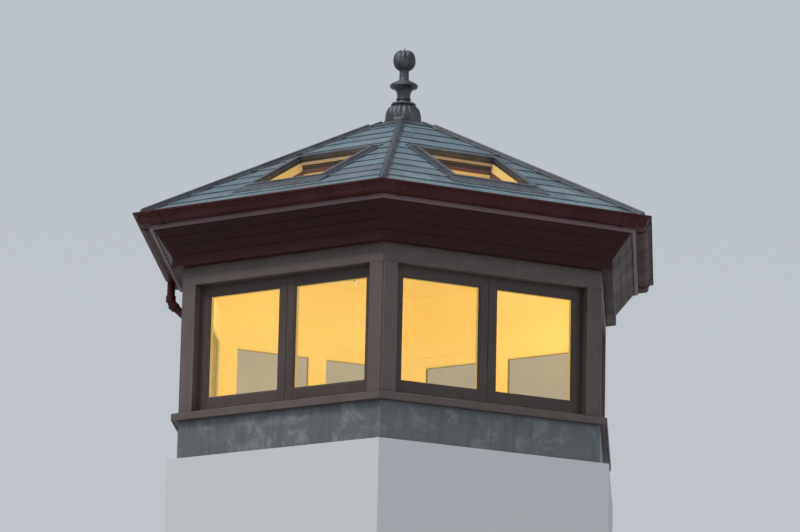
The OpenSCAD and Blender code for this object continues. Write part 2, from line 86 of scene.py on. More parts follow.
# Eaves and gutter
FASCIA_T = 0.025
DRIP = 0.006
BOARD_T = 0.020
GUTTER_W = 0.107
GUTTER_H = 0.075
GUTTER_FLAT = 0.045
LIP_H = 0.012
IRON_T = 0.005
UNION_W = 0.040
UNION_T = 0.004
UNION_AT = 0.120

# Roof
PITCH = radians(29.5)
DECK_T = 0.026
ROOF_T = 0.170
CEILING_T = 0.015
ROLL_R = 0.012
HIP_W = 0.030
SEAT = 0.141
CAP_T = 0.004

# Rooflights
LIGHT_W = 0.560
LIGHT_L = 0.620
LIGHT_FRAME = 0.045
LIGHT_FOOT = 0.003
LIGHT_UP = 0.016
LIGHT_DOWN = 0.060
LIGHT_STEP = 0.006
LIGHT_RIM = 0.013

# Sizes that only the scene has
HAIRLINE = 0.0004
PAINTED_T = 0.080
SLATE_GAUGE = 0.162
SLATE_W = 0.204
SLATE_LAP = 0.055
SLATE_T = 0.0065
SLATE_GAP = 0.0012
SLATE_TILT = 0.0075 / SLATE_GAUGE

HALF_SIDE = WALL * MITRE
HALF_BAY = HALF_SIDE - POST_FACE
GUTTER_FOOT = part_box("gutter_right")[1].z - GUTTER_H
APEX_Z = FASCIA_TOP + (FASCIA - FASCIA_T) * tan(PITCH) + DECK_T / cos(PITCH)
SLOPE_L = EAVE / cos(PITCH)
HIP = atan(tan(PITCH) * cos(TURN / 2))
LIGHT_END = (WALL - PLATE_T - LIGHT_FOOT + ROOF_T * sin(PITCH)) / cos(PITCH)
LIGHT_TOP = LIGHT_END - LIGHT_L - 2 * LIGHT_FRAME
LIGHT_HALF = LIGHT_W / 2 + LIGHT_FRAME


def roof_z(a, depth):
    """Height of the roof at a distance from the axis, some depth below the slates."""
    return APEX_Z - a * tan(PITCH) - depth / cos(PITCH)


def along_hip(a):
    """The place on a hip that is level with the slopes at a distance from the axis."""
    return a / cos(TURN / 2) / cos(HIP)


# Places

def on_side(number):
    """X points out through the middle of a side, and Y runs along it."""
    return Matrix.Rotation(number * TURN, 4, "Z")


def from_apex(turns, fall):
    """X runs down a fall from the apex, Y runs across it, and Z stands off it."""
    return on_side(turns) @ Matrix.Translation((0, 0, APEX_Z)) @ Matrix.Rotation(fall, 4, "Y")


def on_slope(number):
    """Down the middle of a slope, on its slates."""
    return from_apex(number, PITCH)


def on_hip(number):
    """Down the hip between a slope and the next."""
    return from_apex(number + 0.5, HIP)


# Outlines and meshes

def oblong(x0, x1, y0, y1):
    """The corners of a rectangle in turn."""
    return [(x0, y0), (x1, y0), (x1, y1), (x0, y1)]


def grown(box, by):
    """A rectangle with each side moved outwards."""
    x0, x1, y0, y1 = box
    return x0 - by, x1 + by, y0 - by, y1 + by


def arc(x, y, radius, first, last, steps):
    """Points about a centre, from one angle to another in degrees."""
    turns = [radians(first + (last - first) * k / steps) for k in range(steps + 1)]
    return [(x + radius * cos(turn), y + radius * sin(turn)) for turn in turns]


def circle(radius, count, x=0.0, y=0.0):
    return arc(x, y, radius, 0, 360, count)[:-1]


def quarter(start, end, upright, steps=14):
    """A quarter of an ellipse that leaves its first point upright, or else level."""
    points = []
    for k in range(steps + 1):
        slow, fast = 1 - cos(pi / 2 * k / steps), sin(pi / 2 * k / steps)
        across, up = (slow, fast) if upright else (fast, slow)
        points.append((start[0] + (end[0] - start[0]) * across, start[1] + (end[1] - start[1]) * up))
    return points


def linked(name, data):
    """A new object in the scene, for a mesh, a lamp or a camera."""
    made = bpy.data.objects.new(name, data)
    bpy.context.scene.collection.objects.link(made)
    return made


class Shape:
    """Solids gathered into one mesh. Each keeps its own grain and a random tone."""

    def __init__(self, name, *materials, seed):
        self.name = name
        self.materials = materials
        self.random = random.Random(seed)
        self.bm = bmesh.new()
        self.grain = self.bm.loops.layers.float_vector.new("grain")
        self.tone = self.bm.loops.layers.float_color.new("tone")

    def loft(self, loops, place=Matrix(), along="x", material=0, smooth=False):
        """Joins loops of points into one closed solid. Its grain runs along one axis."""
        rng = self.random
        shift = Vector((rng.uniform(0, 40), rng.uniform(0, 40), rng.uniform(0, 40)))
        tone = (rng.random(), rng.random(), rng.random(), 1)
        order = {"x": (0, 1, 2), "y": (1, 0, 2), "z": (2, 0, 1)}[along]
        rings = [[self.bm.verts.new(place @ Vector(p)) for p in loop] for loop in loops]
        local = {}
        for ring, loop in zip(rings, loops):
            for vert, p in zip(ring, loop):
                local[vert] = Vector([p[k] for k in order]) + shift
        faces = []
        count = len(loops[0])
        for near, away in zip(rings, rings[1:]):
            for k in range(count):
                m = (k + 1) % count
                faces.append(self.bm.faces.new((near[k], near[m], away[m], away[k])))
        faces.append(self.bm.faces.new(rings[0][::-1]))
        faces.append(self.bm.faces.new(rings[-1]))
        for face in faces:
            face.material_index = material
            face.smooth = smooth
            for corner in face.loops:
                corner[self.grain] = local[corner.vert]
                corner[self.tone] = tone

    def prism(self, outline, z0, z1, place=Matrix(), along="z", material=0):
        """An outline in X and Y raised between two heights."""
        self.loft([[(x, y, z) for x, y in outline] for z in (z0, z1)], place, along, material)

    def block(self, corner, opposite, place=Matrix(), along="x", material=0):
        """A plain block between two opposite corners."""
        (x0, x1), (y0, y1), (z0, z1) = (sorted(pair) for pair in zip(corner, opposite))
        self.prism(oblong(x0, x1, y0, y1), z0, z1, place, along, material)

    def run(self, section, material=0, joint=HAIRLINE):
        """Carries a section of distances and heights along each side, mitred at the corners."""
        for number in range(SIDES):
            ends = [[(a, hand * (a * MITRE - joint), z) for a, z in section] for hand in (-1, 1)]
            self.loft(ends, on_side(number), "y", material)

    def build(self, replaces=(), bevel=0.0, segments=2, angle=30):
        """Turns the solids into an object that rides on the part."""
        sharp = radians(38)
        bmesh.ops.recalc_face_normals(self.bm, faces=self.bm.faces[:])
        for edge in self.bm.edges:
            edge.smooth = edge.calc_face_angle(0) < sharp
        mesh = bpy.data.meshes.new(self.name)
        self.bm.to_mesh(mesh)
        self.bm.free()
        piece = linked(self.name, mesh)
        for made in self.materials:
            mesh.materials.append(made)
        if bevel:
            rounded = piece.modifiers.new("edges", "BEVEL")
            rounded.width = bevel
            rounded.segments = segments
            rounded.limit_method = "ANGLE"
            rounded.angle_limit = radians(angle)
            rounded.use_clamp_overlap = True
        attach(piece, "root")
        if replaces:
            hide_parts(*replaces)


# Nodes

def fill(tree, node, inputs):
    """Sets a node's inputs, each to a value or to another node's output."""
    for key, value in inputs.items():
        if isinstance(value, bpy.types.NodeSocket):
            tree.links.new(value, node.inputs[key])
        else:
            node.inputs[key].default_value = value


def add(tree, kind, inputs=None, **settings):
    """Adds a node, with its settings and its inputs."""
    made = tree.nodes.new(kind)
    for key, value in settings.items():
        setattr(made, key, value)
    fill(tree, made, inputs or {})
    return made


def surface(name):
    """A new material, its node tree and its shader."""
    made = bpy.data.materials.new(name)
    made.use_nodes = True
    return made, made.node_tree, made.node_tree.nodes["Principled BSDF"]


def place_in(tree):
    return add(tree, "ShaderNodeTexCoord").outputs["Object"]


def grain_in(tree):
    """Where a point lies along and across its own solid."""
    return add(tree, "ShaderNodeAttribute", attribute_name="grain").outputs["Vector"]


def tones_in(tree):
    """Two random numbers of the solid that a point lies on."""
    tone = add(tree, "ShaderNodeAttribute", attribute_name="tone").outputs["Color"]
    split = add(tree, "ShaderNodeSeparateColor", {"Color": tone})
    return split.outputs["Red"], split.outputs["Green"]


def stretched(tree, vector, scale):
    return add(tree, "ShaderNodeMapping", {"Vector": vector, "Scale": scale}).outputs["Vector"]


def noise(tree, vector, scale, detail, rough, twist=0.0):
    made = add(tree, "ShaderNodeTexNoise", {
        "Vector": vector, "Scale": scale, "Detail": detail, "Roughness": rough, "Distortion": twist})
    return made.outputs["Fac"]


def spread(tree, value, low, high, to_low=0.0, to_high=1.0):
    """Stretches one range of a value over another, and holds it at the ends."""
    made = add(tree, "ShaderNodeMapRange", {
        "Value": value, "From Min": low, "From Max": high, "To Min": to_low, "To Max": to_high})
    return made.outputs["Result"]


def times(tree, a, b):
    return add(tree, "ShaderNodeMath", {0: a, 1: b}, operation="MULTIPLY").outputs[0]


def plus(tree, a, b):
    return add(tree, "ShaderNodeMath", {0: a, 1: b}, operation="ADD").outputs[0]


def mix(tree, factor, a, b):
    """Mixes two colours, each an output or three numbers."""
    a, b = ((*colour, 1) if isinstance(colour, tuple) else colour for colour in (a, b))
    return add(tree, "ShaderNodeMix", {0: factor, 6: a, 7: b}, data_type="RGBA").outputs[2]


def coats(tree, colour, *layers):
    """Lays coats over a colour, each with how far it covers and its own colour."""
    for cover, coat in layers:
        colour = mix(tree, cover, colour, coat)
    return colour


def bump(tree, height, strength, distance, under=None):
    inputs = {"Height": height, "Strength": strength, "Distance": distance}
    if under:
        inputs["Normal"] = under
    return add(tree, "ShaderNodeBump", inputs).outputs["Normal"]


def edges(tree, radius):
    """About 1 on sharp edges and 0 on flats."""
    rounded = add(tree, "ShaderNodeBevel", {"Radius": radius}, samples=4).outputs[0]
    plain = add(tree, "ShaderNodeNewGeometry").outputs["Normal"]
    facing = add(tree, "ShaderNodeVectorMath", {0: rounded, 1: plain}, operation="DOT_PRODUCT")
    return spread(tree, facing.outputs["Value"], 0.995, 0.85)


def painted_recess_shade(tree, reach):
    """Painted shade: about 1 in corners and grooves, where shade falls, and 0 in the open."""
    made = add(tree, "ShaderNodeAmbientOcclusion", {"Distance": reach}, samples=6)
    return spread(tree, made.outputs["AO"], 0.85, 0.35)


def rain_streaks(tree):
    """Vertical runs of dirt, from 0 to 1."""
    where = stretched(tree, place_in(tree), (9.0, 9.0, 0.8))
    return spread(tree, noise(tree, where, 2.2, 5.0, 0.6), 0.50, 0.72)


def shade(colour, share, lift=0.0):
    """A colour made darker or paler."""
    return tuple(min(1.0, share * c + lift) for c in colour)


# Materials

def painted_wood(name, colour, worn, rough, wear=0.5, sheen=0.35):
    """Paint over wood: a faint grain, brush marks, dirt that rain has run down, rubbed edges, and painted
    shade in corners and grooves.
    """
    made, tree, shader = surface(name)
    grain = grain_in(tree)
    tone = tones_in(tree)[0]
    fibres = noise(tree, stretched(tree, grain, (2.0, 34.0, 34.0)), 3.0, 6.0, 0.6, 0.4)
    brush = noise(tree, stretched(tree, grain, (3.0, 120.0, 120.0)), 4.0, 3.0, 0.6)
    blotch = noise(tree, place_in(tree), 3.2, 5.0, 0.6)
    patchy = spread(tree, noise(tree, grain, 22.0, 5.0, 0.7), 0.45, 0.65)
    rubbed = times(tree, edges(tree, 0.006), patchy)
    dark = shade(colour, 0.62)
    body = coats(
        tree, colour,
        (spread(tree, blotch, 0.35, 0.68), shade(colour, 1.22)),
        (spread(tree, tone, 0.0, 1.0, 0.0, 0.35), dark),
        (spread(tree, fibres, 0.56, 0.75, 0.0, 0.45), dark),
        (times(tree, rain_streaks(tree), 0.35), dark),
        # Painted shade: darker in corners and grooves
        (times(tree, painted_recess_shade(tree, 0.05), 0.5), shade(colour, 0.4)),
        (times(tree, rubbed, wear), worn))
    fine = bump(tree, brush, 0.25, 0.0004)
    fill(tree, shader, {
        "Base Color": body,
        "Roughness": spread(tree, blotch, 0.3, 0.7, rough - 0.08, rough + 0.12),
        "Specular IOR Level": sheen,
        "Normal": bump(tree, fibres, 0.35, 0.0011, fine)})
    return made


def slate():
    """Riven slate: blue grey from slate to slate, layered, with lichen and dirt."""
    made, tree, shader = surface("riven_slate")
    grain = grain_in(tree)
    tone, odd = tones_in(tree)
    layers = noise(tree, stretched(tree, grain, (3.0, 7.0, 30.0)), 5.0, 8.0, 0.62, 0.6)
    fine = noise(tree, grain, 160.0, 5.0, 0.65)
    cloud = noise(tree, place_in(tree), 1.7, 5.0, 0.6)
    spots = spread(tree, noise(tree, place_in(tree), 17.0, 6.0, 0.72), 0.625, 0.68)
    lichen = times(tree, spots, spread(tree, cloud, 0.40, 0.62))
    patchy = spread(tree, noise(tree, grain, 45.0, 4.0, 0.7), 0.42, 0.6)
    chips = times(tree, edges(tree, 0.004), patchy)
    body = coats(
        tree, (0.098, 0.146, 0.178),
        (tone, (0.182, 0.244, 0.274)),
        (spread(tree, odd, 0.80, 1.0, 0.0, 0.7), (0.135, 0.128, 0.148)),
        (spread(tree, odd, 0.0, 0.22, 0.55, 0.0), (0.074, 0.108, 0.118)),
        (spread(tree, layers, 0.38, 0.66, 0.0, 0.50), (0.066, 0.090, 0.110)),
        (spread(tree, cloud, 0.48, 0.70, 0.0, 0.45), (0.180, 0.205, 0.205)),
        (times(tree, lichen, 0.75), (0.31, 0.33, 0.28)),
        (times(tree, chips, 0.45), (0.26, 0.30, 0.33)))
    rough = bump(tree, fine, 0.3, 0.0006)
    fill(tree, shader, {
        "Base Color": body,
        "Roughness": spread(tree, layers, 0.3, 0.7, 0.36, 0.58),
        "Specular IOR Level": 0.6,
        "Normal": bump(tree, layers, 0.55, 0.0022, rough)})
    return made


def lead(name, colour, pale, metallic=0.35, rough=0.42):
    """Dressed lead: soft dents, a pale bloom, darker runs, and painted shade in its hollows."""
    made, tree, shader = surface(name)
    where = place_in(tree)
    bloom = noise(tree, where, 5.5, 7.0, 0.66, 0.8)
    speckle = noise(tree, where, 60.0, 4.0, 0.7)
    dents = noise(tree, where, 15.0, 3.0, 0.5)
    dark = shade(colour, 0.55)
    body = coats(
        tree, colour,
        (spread(tree, bloom, 0.47, 0.66, 0.0, 0.75), pale),
        (spread(tree, speckle, 0.55, 0.72, 0.0, 0.35), dark),
        (times(tree, rain_streaks(tree), 0.5), dark),
        # Painted shade: darker in hollows and creases
        (times(tree, painted_recess_shade(tree, 0.04), 0.7), shade(colour, 0.3)),
        (times(tree, edges(tree, 0.008), 0.35), pale))
    fine = bump(tree, speckle, 0.18, 0.0006)
    fill(tree, shader, {
        "Base Color": body,
        "Metallic": metallic,
        "Roughness": spread(tree, bloom, 0.35, 0.7, rough, rough + 0.22),
        "Normal": bump(tree, dents, 0.45, 0.006, fine)})
    return made


def iron(name, colour):
    """Painted cast iron: a sandy skin, chalked paint and rust where it has gone."""
    made, tree, shader = surface(name)
    where = place_in(tree)
    skin = noise(tree, where, 240.0, 3.0, 0.6)
    patch = noise(tree, where, 4.5, 6.0, 0.65)
    pits = noise(tree, where, 34.0, 6.0, 0.72)
    pitted = times(tree, spread(tree, pits, 0.60, 0.66), spread(tree, patch, 0.36, 0.60))
    rubbed = times(tree, edges(tree, 0.004), spread(tree, pits, 0.5, 0.6, 0.0, 0.5))
    body = coats(
        tree, colour,
        (spread(tree, patch, 0.40, 0.68), shade(colour, 1.35, 0.006)),
        (times(tree, rain_streaks(tree), 0.55), shade(colour, 0.6)),
        (plus(tree, times(tree, pitted, 0.8), rubbed), (0.155, 0.055, 0.026)))
    fine = bump(tree, skin, 0.2, 0.0004)
    fill(tree, shader, {
        "Base Color": body,
        "Roughness": spread(tree, patch, 0.3, 0.7, 0.45, 0.65),
        "Specular IOR Level": 0.14,
        "Normal": bump(tree, pits, 0.2, 0.001, fine)})
    return made


def paint_with_painted_glow(name, colour, glow):
    """Rolled paint on the inside, warmer in patches, with a painted glow of lamplight of the given
    strength.
    """
    made, tree, shader = surface(name)
    where = place_in(tree)
    blotch = noise(tree, where, 2.4, 4.0, 0.55)
    roll = noise(tree, where, 130.0, 3.0, 0.6)
    warm = tuple(c * s for c, s in zip(colour, (0.97, 0.90, 0.74)))
    fill(tree, shader, {
        "Base Color": mix(tree, spread(tree, blotch, 0.35, 0.68), colour, warm),
        "Roughness": 0.55,
        "Normal": bump(tree, roll, 0.15, 0.0006),
        # Painted glow: the paint gives light of its own, standing for lamplight
        "Emission Color": mix(tree, spread(tree, blotch, 0.3, 0.7), (1.0, 0.70, 0.15), (1.0, 0.82, 0.23)),
        "Emission Strength": glow})
    return made


def raw_timber():
    """Bare softwood inside the kerb and over the frieze."""
    made, tree, shader = surface("raw_timber")
    rings = noise(tree, stretched(tree, place_in(tree), (5.0, 5.0, 38.0)), 2.0, 7.0, 0.6, 0.8)
    fill(tree, shader, {
        "Base Color": mix(tree, spread(tree, rings, 0.35, 0.68), (0.42, 0.27, 0.15), (0.23, 0.13, 0.065)),
        "Roughness": 0.72,
        "Normal": bump(tree, rings, 0.3, 0.001)})
    return made


def metal_frame(name, colour):
    """Coated sheet metal with a fine grain and dust."""
    made, tree, shader = surface(name)
    where = place_in(tree)
    dust = noise(tree, where, 9.0, 6.0, 0.65)
    fine = noise(tree, where, 300.0, 2.0, 0.5)
    body = coats(
        tree, colour,
        (spread(tree, dust, 0.42, 0.68), shade(colour, 0.6)),
        (times(tree, edges(tree, 0.004), 0.4), shade(colour, 1.5)))
    fill(tree, shader, {
        "Base Color": body,
        "Metallic": 0.5,
        "Roughness": spread(tree, dust, 0.3, 0.7, 0.34, 0.52),
        "Normal": bump(tree, fine, 0.12, 0.0003)})
    return made


def pane_glass(name, tint, cover, glow, sheen):
    """Sealed glass with dust on it, and a painted glow of lamplight of the given strength."""
    made, tree, shader = surface(name)
    dust = noise(tree, place_in(tree), 3.0, 6.0, 0.65)
    fill(tree, shader, {
        "Base Color": mix(tree, spread(tree, dust, 0.4, 0.7), tint, shade(tint, 1.6, 0.02)),
        "Roughness": spread(tree, dust, 0.35, 0.75, 0.03, 0.10),
        "Specular IOR Level": sheen,
        "Alpha": cover,
        # Painted glow: the glass gives light of its own, standing for lamplight
        "Emission Color": (1.0, 0.80, 0.24, 1),
        "Emission Strength": glow})
    return made


def stage_paint(name, colour):
    made, tree, shader = surface(name)
    faint = noise(tree, place_in(tree), 0.6, 3.0, 0.5)
    fill(tree, shader, {"Base Color": mix(tree, faint, colour, shade(colour, 0.96)), "Roughness": 0.9})
    return made


TAUPE = painted_wood("taupe_paint", (0.100, 0.075, 0.069), (0.26, 0.22, 0.19), 0.52)
# Joinery paint darker than the posts: partly its own colour, partly painted shade of the recess round the
# windows
JOINERY_AND_PAINTED_SHADE = painted_wood("joinery_paint_and_painted_shade", (0.060, 0.042, 0.037), (0.18, 0.14, 0.11), 0.46)
BROWN = painted_wood("brown_paint", (0.037, 0.0135, 0.0115), (0.14, 0.075, 0.055), 0.45, 0.4, 0.10)
FASCIA_PAINT = painted_wood("fascia_paint", (0.200, 0.130, 0.138), (0.38, 0.30, 0.28), 0.50)
# Inside the rooflights: varnished boards that are partly real trim and partly painted shade, and a dark
# copy that is painted shade
WOOD_AND_PAINTED_SHADE = painted_wood("varnished_wood_and_painted_shade", (0.165, 0.062, 0.022), (0.30, 0.15, 0.07), 0.45, 0.3, 0.2)
PAINTED_SHADE_WOOD = painted_wood("wood_painted_shade", (0.040, 0.012, 0.005), (0.12, 0.05, 0.02), 0.55, 0.3, 0.1)
SLATE = slate()
LEAD = lead("dressed_lead", (0.112, 0.122, 0.130), (0.245, 0.262, 0.270))
ROOF_LEAD = lead("roof_lead", (0.062, 0.068, 0.076), (0.135, 0.148, 0.158))
FINIAL_LEAD = lead("finial_lead", (0.058, 0.058, 0.068), (0.165, 0.170, 0.186), 0.60, 0.38)
IRON = iron("painted_iron", (0.044, 0.0100, 0.0105))
# Cream inside, with a painted glow of lamplight, though it is no lamp
GLOWING_CREAM = paint_with_painted_glow("cream_paint_painted_glow", (0.80, 0.62, 0.34), 0.28)
TIMBER = raw_timber()
METAL = metal_frame("coated_metal", (0.112, 0.118, 0.132))
PALE_BAR = paint_with_painted_glow("pale_bar", (0.66, 0.58, 0.46), 0.0)
FLASHING = metal_frame("flashing_metal", (0.105, 0.11, 0.12))
# Window glass: a warm tint and a painted glow, both standing for the lamplight inside
GLOWING_PANE = pane_glass("window_pane", (0.14, 0.10, 0.035), 0.26, 0.24, 0.25)
ROOF_PANE = pane_glass("rooflight_pane", (0.025, 0.022, 0.018), 0.14, 0.0, 0.08)


def paint(node, made):
    """Gives a CAD node its material."""
    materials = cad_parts[node].data.materials
    materials.clear()
    materials.append(made)


# Walls

def leadwork_on_kerb():
    """Sheets of lead round the kerb's corners, each lapped over the next in the middle of a side."""
    shape = Shape("kerb_lead_sheets", LEAD, seed=3)
    thick, foot, inner = 0.004, 0.012, WALL - 0.005
    corner = inner * MITRE
    lap, lap_from, lap_ramp, lap_rise, lap_thin = 0.045, 0.11, 0.06, 0.0042, 0.4
    wave_h, steps = 0.0022, 24
    tabs, tab_w, tab_t, tab_top = (-0.5, -0.24, 0.24, 0.5), 0.05, 0.0065, foot + 0.03
    for number in range(SIDES):
        loops = []
        for k in range(-steps, steps + 1):
            t = corner + (corner + lap) * k / steps
            side, along = (number, t) if k <= 0 else (number + 1, t - 2 * corner)
            over = max(0.0, min(1.0, (along + lap_from) / lap_ramp)) if k > 0 else 0.0
            low = foot + wave_h * sin(9.0 * t + 1.7 * number)
            out = inner + lap_rise * over - (0.0008 if over else 0.0)
            face = out + thick * (lap_thin if over else 1.0)
            section = ((out, low), (face, low + 0.001), (face, KERB_TOP), (out, KERB_TOP))
            slant = 0.0 if k else MITRE
            loops.append([on_side(side) @ Vector((a, along + (a - inner) * slant, z)) for a, z in section])
        shape.loft(loops)
        for t in tabs:
            shape.block((inner, t - tab_w / 2, foot - 0.006), (inner + tab_t, t + tab_w / 2, tab_top),
                        on_side(number), "z")
    shape.build(["kerb_lead"], 0.001, 1)


def sill():
    """The sill's six lengths, mitred at the corners, with a drip groove under the nose."""
    shape = Shape("sill_boards", TAUPE, seed=5)
    inner, fall, groove = WALL - POST_DEPTH, 0.014, 0.008
    groove_in, groove_out = SILL_NOSE - 2.5 * groove, SILL_NOSE - 1.5 * groove
    groove_top = KERB_TOP + groove / 2
    shape.run([
        (inner, KERB_TOP), (groove_in, KERB_TOP), (groove_in, groove_top), (groove_out, groove_top),
        (groove_out, KERB_TOP), (SILL_NOSE, KERB_TOP), (SILL_NOSE, WINDOW_FOOT - fall), (WALL, WINDOW_FOOT),
        (inner, WINDOW_FOOT)])
    shape.build(["sill"], 0.003)


def corner_posts():
    """Each post is two staves mitred at the arris, painted outside and cream inside."""
    shape = Shape("corner_post_staves", TAUPE, GLOWING_CREAM, seed=7)
    inner, seam = WALL - POST_DEPTH, WALL - PAINTED_T
    inner_y, seam_y = inner * MITRE - HAIRLINE, seam * MITRE - HAIRLINE
    hollow = arc(WALL, HALF_SIDE - HAIRLINE, ARRIS, 270, 210, 4)
    outer = [(seam, HALF_BAY), (WALL, HALF_BAY)] + hollow + [(seam, seam_y)]
    lining = [(inner, HALF_BAY), (seam, HALF_BAY), (seam, seam_y), (inner, inner_y)]
    for number in range(SIDES):
        for hand in (-1, 1):
            place = on_side(number) @ Matrix.Diagonal((1, hand, 1, 1))
            shape.prism(outer, WINDOW_FOOT, WINDOW_HEAD, place)
            shape.prism(lining, WINDOW_FOOT, WINDOW_HEAD, place, material=1)
    shape.build(["corner_posts"], 0.002)


def window(number):
    """A fixed frame and two lights with glazing beads, painted cream on the inside."""
    name = SIDE_NAMES[number]
    shape = Shape("joinery_" + name, JOINERY_AND_PAINTED_SHADE, GLOWING_CREAM, seed=11 + number)
    place = on_side(number)
    middle = (FRAME_IN + FRAME_OUT) / 2
    front = FRAME_OUT - LIGHT_BACK
    foot, head = WINDOW_FOOT + JAMB, WINDOW_HEAD - JAMB
    bead_w, bead_back = 0.012, 0.003
    bay = (-HALF_BAY, HALF_BAY, WINDOW_FOOT, WINDOW_HEAD)
    for x0, x1, coat in ((middle, FRAME_OUT, 0), (FRAME_IN, middle, 1)):
        members(shape, bay, (JAMB, JAMB, JAMB), x0, x1, place, coat)
    for hand in (-1, 1):
        y0, y1 = sorted((hand * LIGHT_GAP / 2, hand * (HALF_BAY - JAMB)))
        for x0, x1, coat in ((middle, front, 0), (FRAME_IN, middle, 1)):
            members(shape, (y0, y1, foot, head), (STILE, RAIL, STILE), x0, x1, place, coat)
        opening = (y0 + STILE, y1 - STILE, foot + RAIL, head - STILE)
        glazing_bead(shape, opening, GLASS_OUT, front - bead_back, bead_w, place, 0)
        glazing_bead(shape, opening, GLASS_IN, FRAME_IN + bead_back, bead_w, place, 1)
    shape.build(["window_" + name], 0.0014)


def members(shape, bounds, widths, x0, x1, place, material):
    """Two stiles, and a bottom rail and a head between them."""
    y0, y1, z0, z1 = bounds
    stile, rail, head = widths
    gap = 0.0003
    for low, high in ((y0, y0 + stile), (y1 - stile, y1)):
        shape.block((x0, low, z0), (x1, high, z1), place, "z", material)
    for low, high in ((z0, z0 + rail), (z1 - head, z1)):
        shape.block((x0, y0 + stile + gap, low), (x1, y1 - stile - gap, high), place, "y", material)


def glazing_bead(shape, opening, glass, front, size, place, material):
    """A mitred bead round an opening, from the glass outwards, with a rounded front."""
    y0, y1, z0, z1 = opening
    deep = front - glass
    section = [(glass, 0.0), (glass, size), (glass + 0.35 * deep, size), (glass + 0.75 * deep, 0.72 * size),
               (front, 0.30 * size), (front, 0.0)]
    corners = ((y0, z0, 1, 1), (y1, z0, -1, 1), (y1, z1, -1, -1), (y0, z1, 1, -1))
    for k in range(4):
        ends = [[(x, y + inward_y * d, z + inward_z * d) for x, d in section]
                for y, z, inward_y, inward_z in (corners[k], corners[(k + 1) % 4])]
        shape.loft(ends, place, "z" if k % 2 else "y", material)


def frieze():
    """The board over the windows, and its cream lining."""
    shape = Shape("frieze_boards", TAUPE, GLOWING_CREAM, seed=23)
    inner, seam = WALL - POST_DEPTH, WALL - PAINTED_T
    shape.run(oblong(seam, WALL, WINDOW_HEAD, FRIEZE_TOP))
    shape.run(oblong(inner, seam, WINDOW_HEAD, FRIEZE_TOP), 1, joint=0)
    shape.build(["frieze"], 0.002)


def plate_lining():
    """Cream boards over the wall plate on the inside."""
    shape = Shape("plate_lining", GLOWING_CREAM, seed=29)
    plate = WALL - PLATE_T
    thick = 0.004
    shape.run(oblong(plate - thick, plate, FRIEZE_TOP, roof_z(plate, ROOF_T + CEILING_T)), joint=0)
    shape.build()


# Eaves

def ledge():
    """The brown board that projects over the frieze, with an eased nose."""
    shape = Shape("ledge_boards", BROWN, seed=31)
    shape.run(oblong(WALL, LEDGE, FRIEZE_TOP, SOFFIT_FOOT))
    shape.build(["ledge"], 0.004)


def soffit():
    """V-jointed boards that run round under the eaves."""
    shape = Shape("soffit_boards", BROWN, seed=37)
    foot = Vector((LEDGE, SOFFIT_FOOT))
    head = Vector((FASCIA - FASCIA_T, FASCIA_FOOT + DRIP))
    up = (head - foot).normalized()
    back = Vector((-up.y, up.x))
    slope = atan2(up.y, up.x)
    level = Vector((BOARD_T / sin(slope), 0))
    upright = Vector((0, BOARD_T / cos(slope)))
    boards, vee, thick = 3, 0.0035, BOARD_T - 0.001
    wide = (head - foot).length / boards
    for k in range(boards):
        near, away = foot + up * wide * k, foot + up * wide * (k + 1)
        section = [near + up * vee, away - up * vee, away + back * vee,
                   away + back * thick, near + back * thick, near + back * vee]
        if k == 0:
            section[0], section[4], section[5] = foot, foot - level * 0.95, foot - level * 0.5
        if k == boards - 1:
            section[1:4] = head, head + upright * 0.5, head + upright * 0.95
        shape.run([tuple(p) for p in section])
    shape.build(["soffit"], 0.0012, 1)


def fascia():
    shape = Shape("fascia_boards", FASCIA_PAINT, seed=41)
    inner = FASCIA - FASCIA_T
    shape.run([(inner, FASCIA_FOOT), (FASCIA, FASCIA_FOOT),
               (FASCIA, roof_z(FASCIA, DECK_T)), (inner, roof_z(inner, DECK_T))])
    shape.build(["fascia"], 0.003)


def gutter_front(inset):
    """The moulded front of the gutter: a belly below and a hollow above it."""
    lip_in, lip_z = GUTTER_W - IRON_T, GUTTER_H - LIP_H
    middle = ((GUTTER_FLAT + lip_in) / 2 - inset, lip_z / 2)
    belly = quarter((GUTTER_FLAT, inset), middle, False)
    hollow = quarter(middle, (lip_in, lip_z + inset), True)
    return belly + hollow[1:]


def gutter(number):
    """One length of cast gutter: a moulded front, a rounded lip, and two bolted sockets."""
    name = SIDE_NAMES[number]
    shape = Shape("cast_gutter_" + name, IRON, seed=71 + number)
    place = on_side(number)
    lip_in, ease = GUTTER_W - IRON_T, 0.0015
    lip = [(GUTTER_W, GUTTER_H - LIP_H), (GUTTER_W, GUTTER_H - ease), (GUTTER_W - ease, GUTTER_H),
           (lip_in + ease, GUTTER_H), (lip_in, GUTTER_H - ease)]
    outside = gutter_front(0.0)
    section = [(0.0, GUTTER_H), (0.0, 0.0)] + outside + lip + gutter_front(IRON_T)[::-1]
    section += [(IRON_T, IRON_T), (IRON_T, GUTTER_H)]
    shape.loft([[(FASCIA + x, hand * (FASCIA + x) * MITRE, GUTTER_FOOT + z) for x, z in section]
                for hand in (-1, 1)], place, "y", smooth=True)
    socket = [(0.0, -UNION_T)] + gutter_front(-UNION_T) + outside[::-1] + [(0.0, 0.0)]
    for hand in (-1, 1):
        middle = hand * (FASCIA * MITRE - UNION_AT)
        ends = (middle - UNION_W / 2, middle + UNION_W / 2)
        shape.loft([[(FASCIA + x, y, GUTTER_FOOT + z) for x, z in socket] for y in ends],
                   place, "y", smooth=True)
        for side in (-1, 1):
            bolt(shape, place, middle + side * UNION_W / 4)
    shape.build(["gutter_" + name], 0.0008, 1, 50)


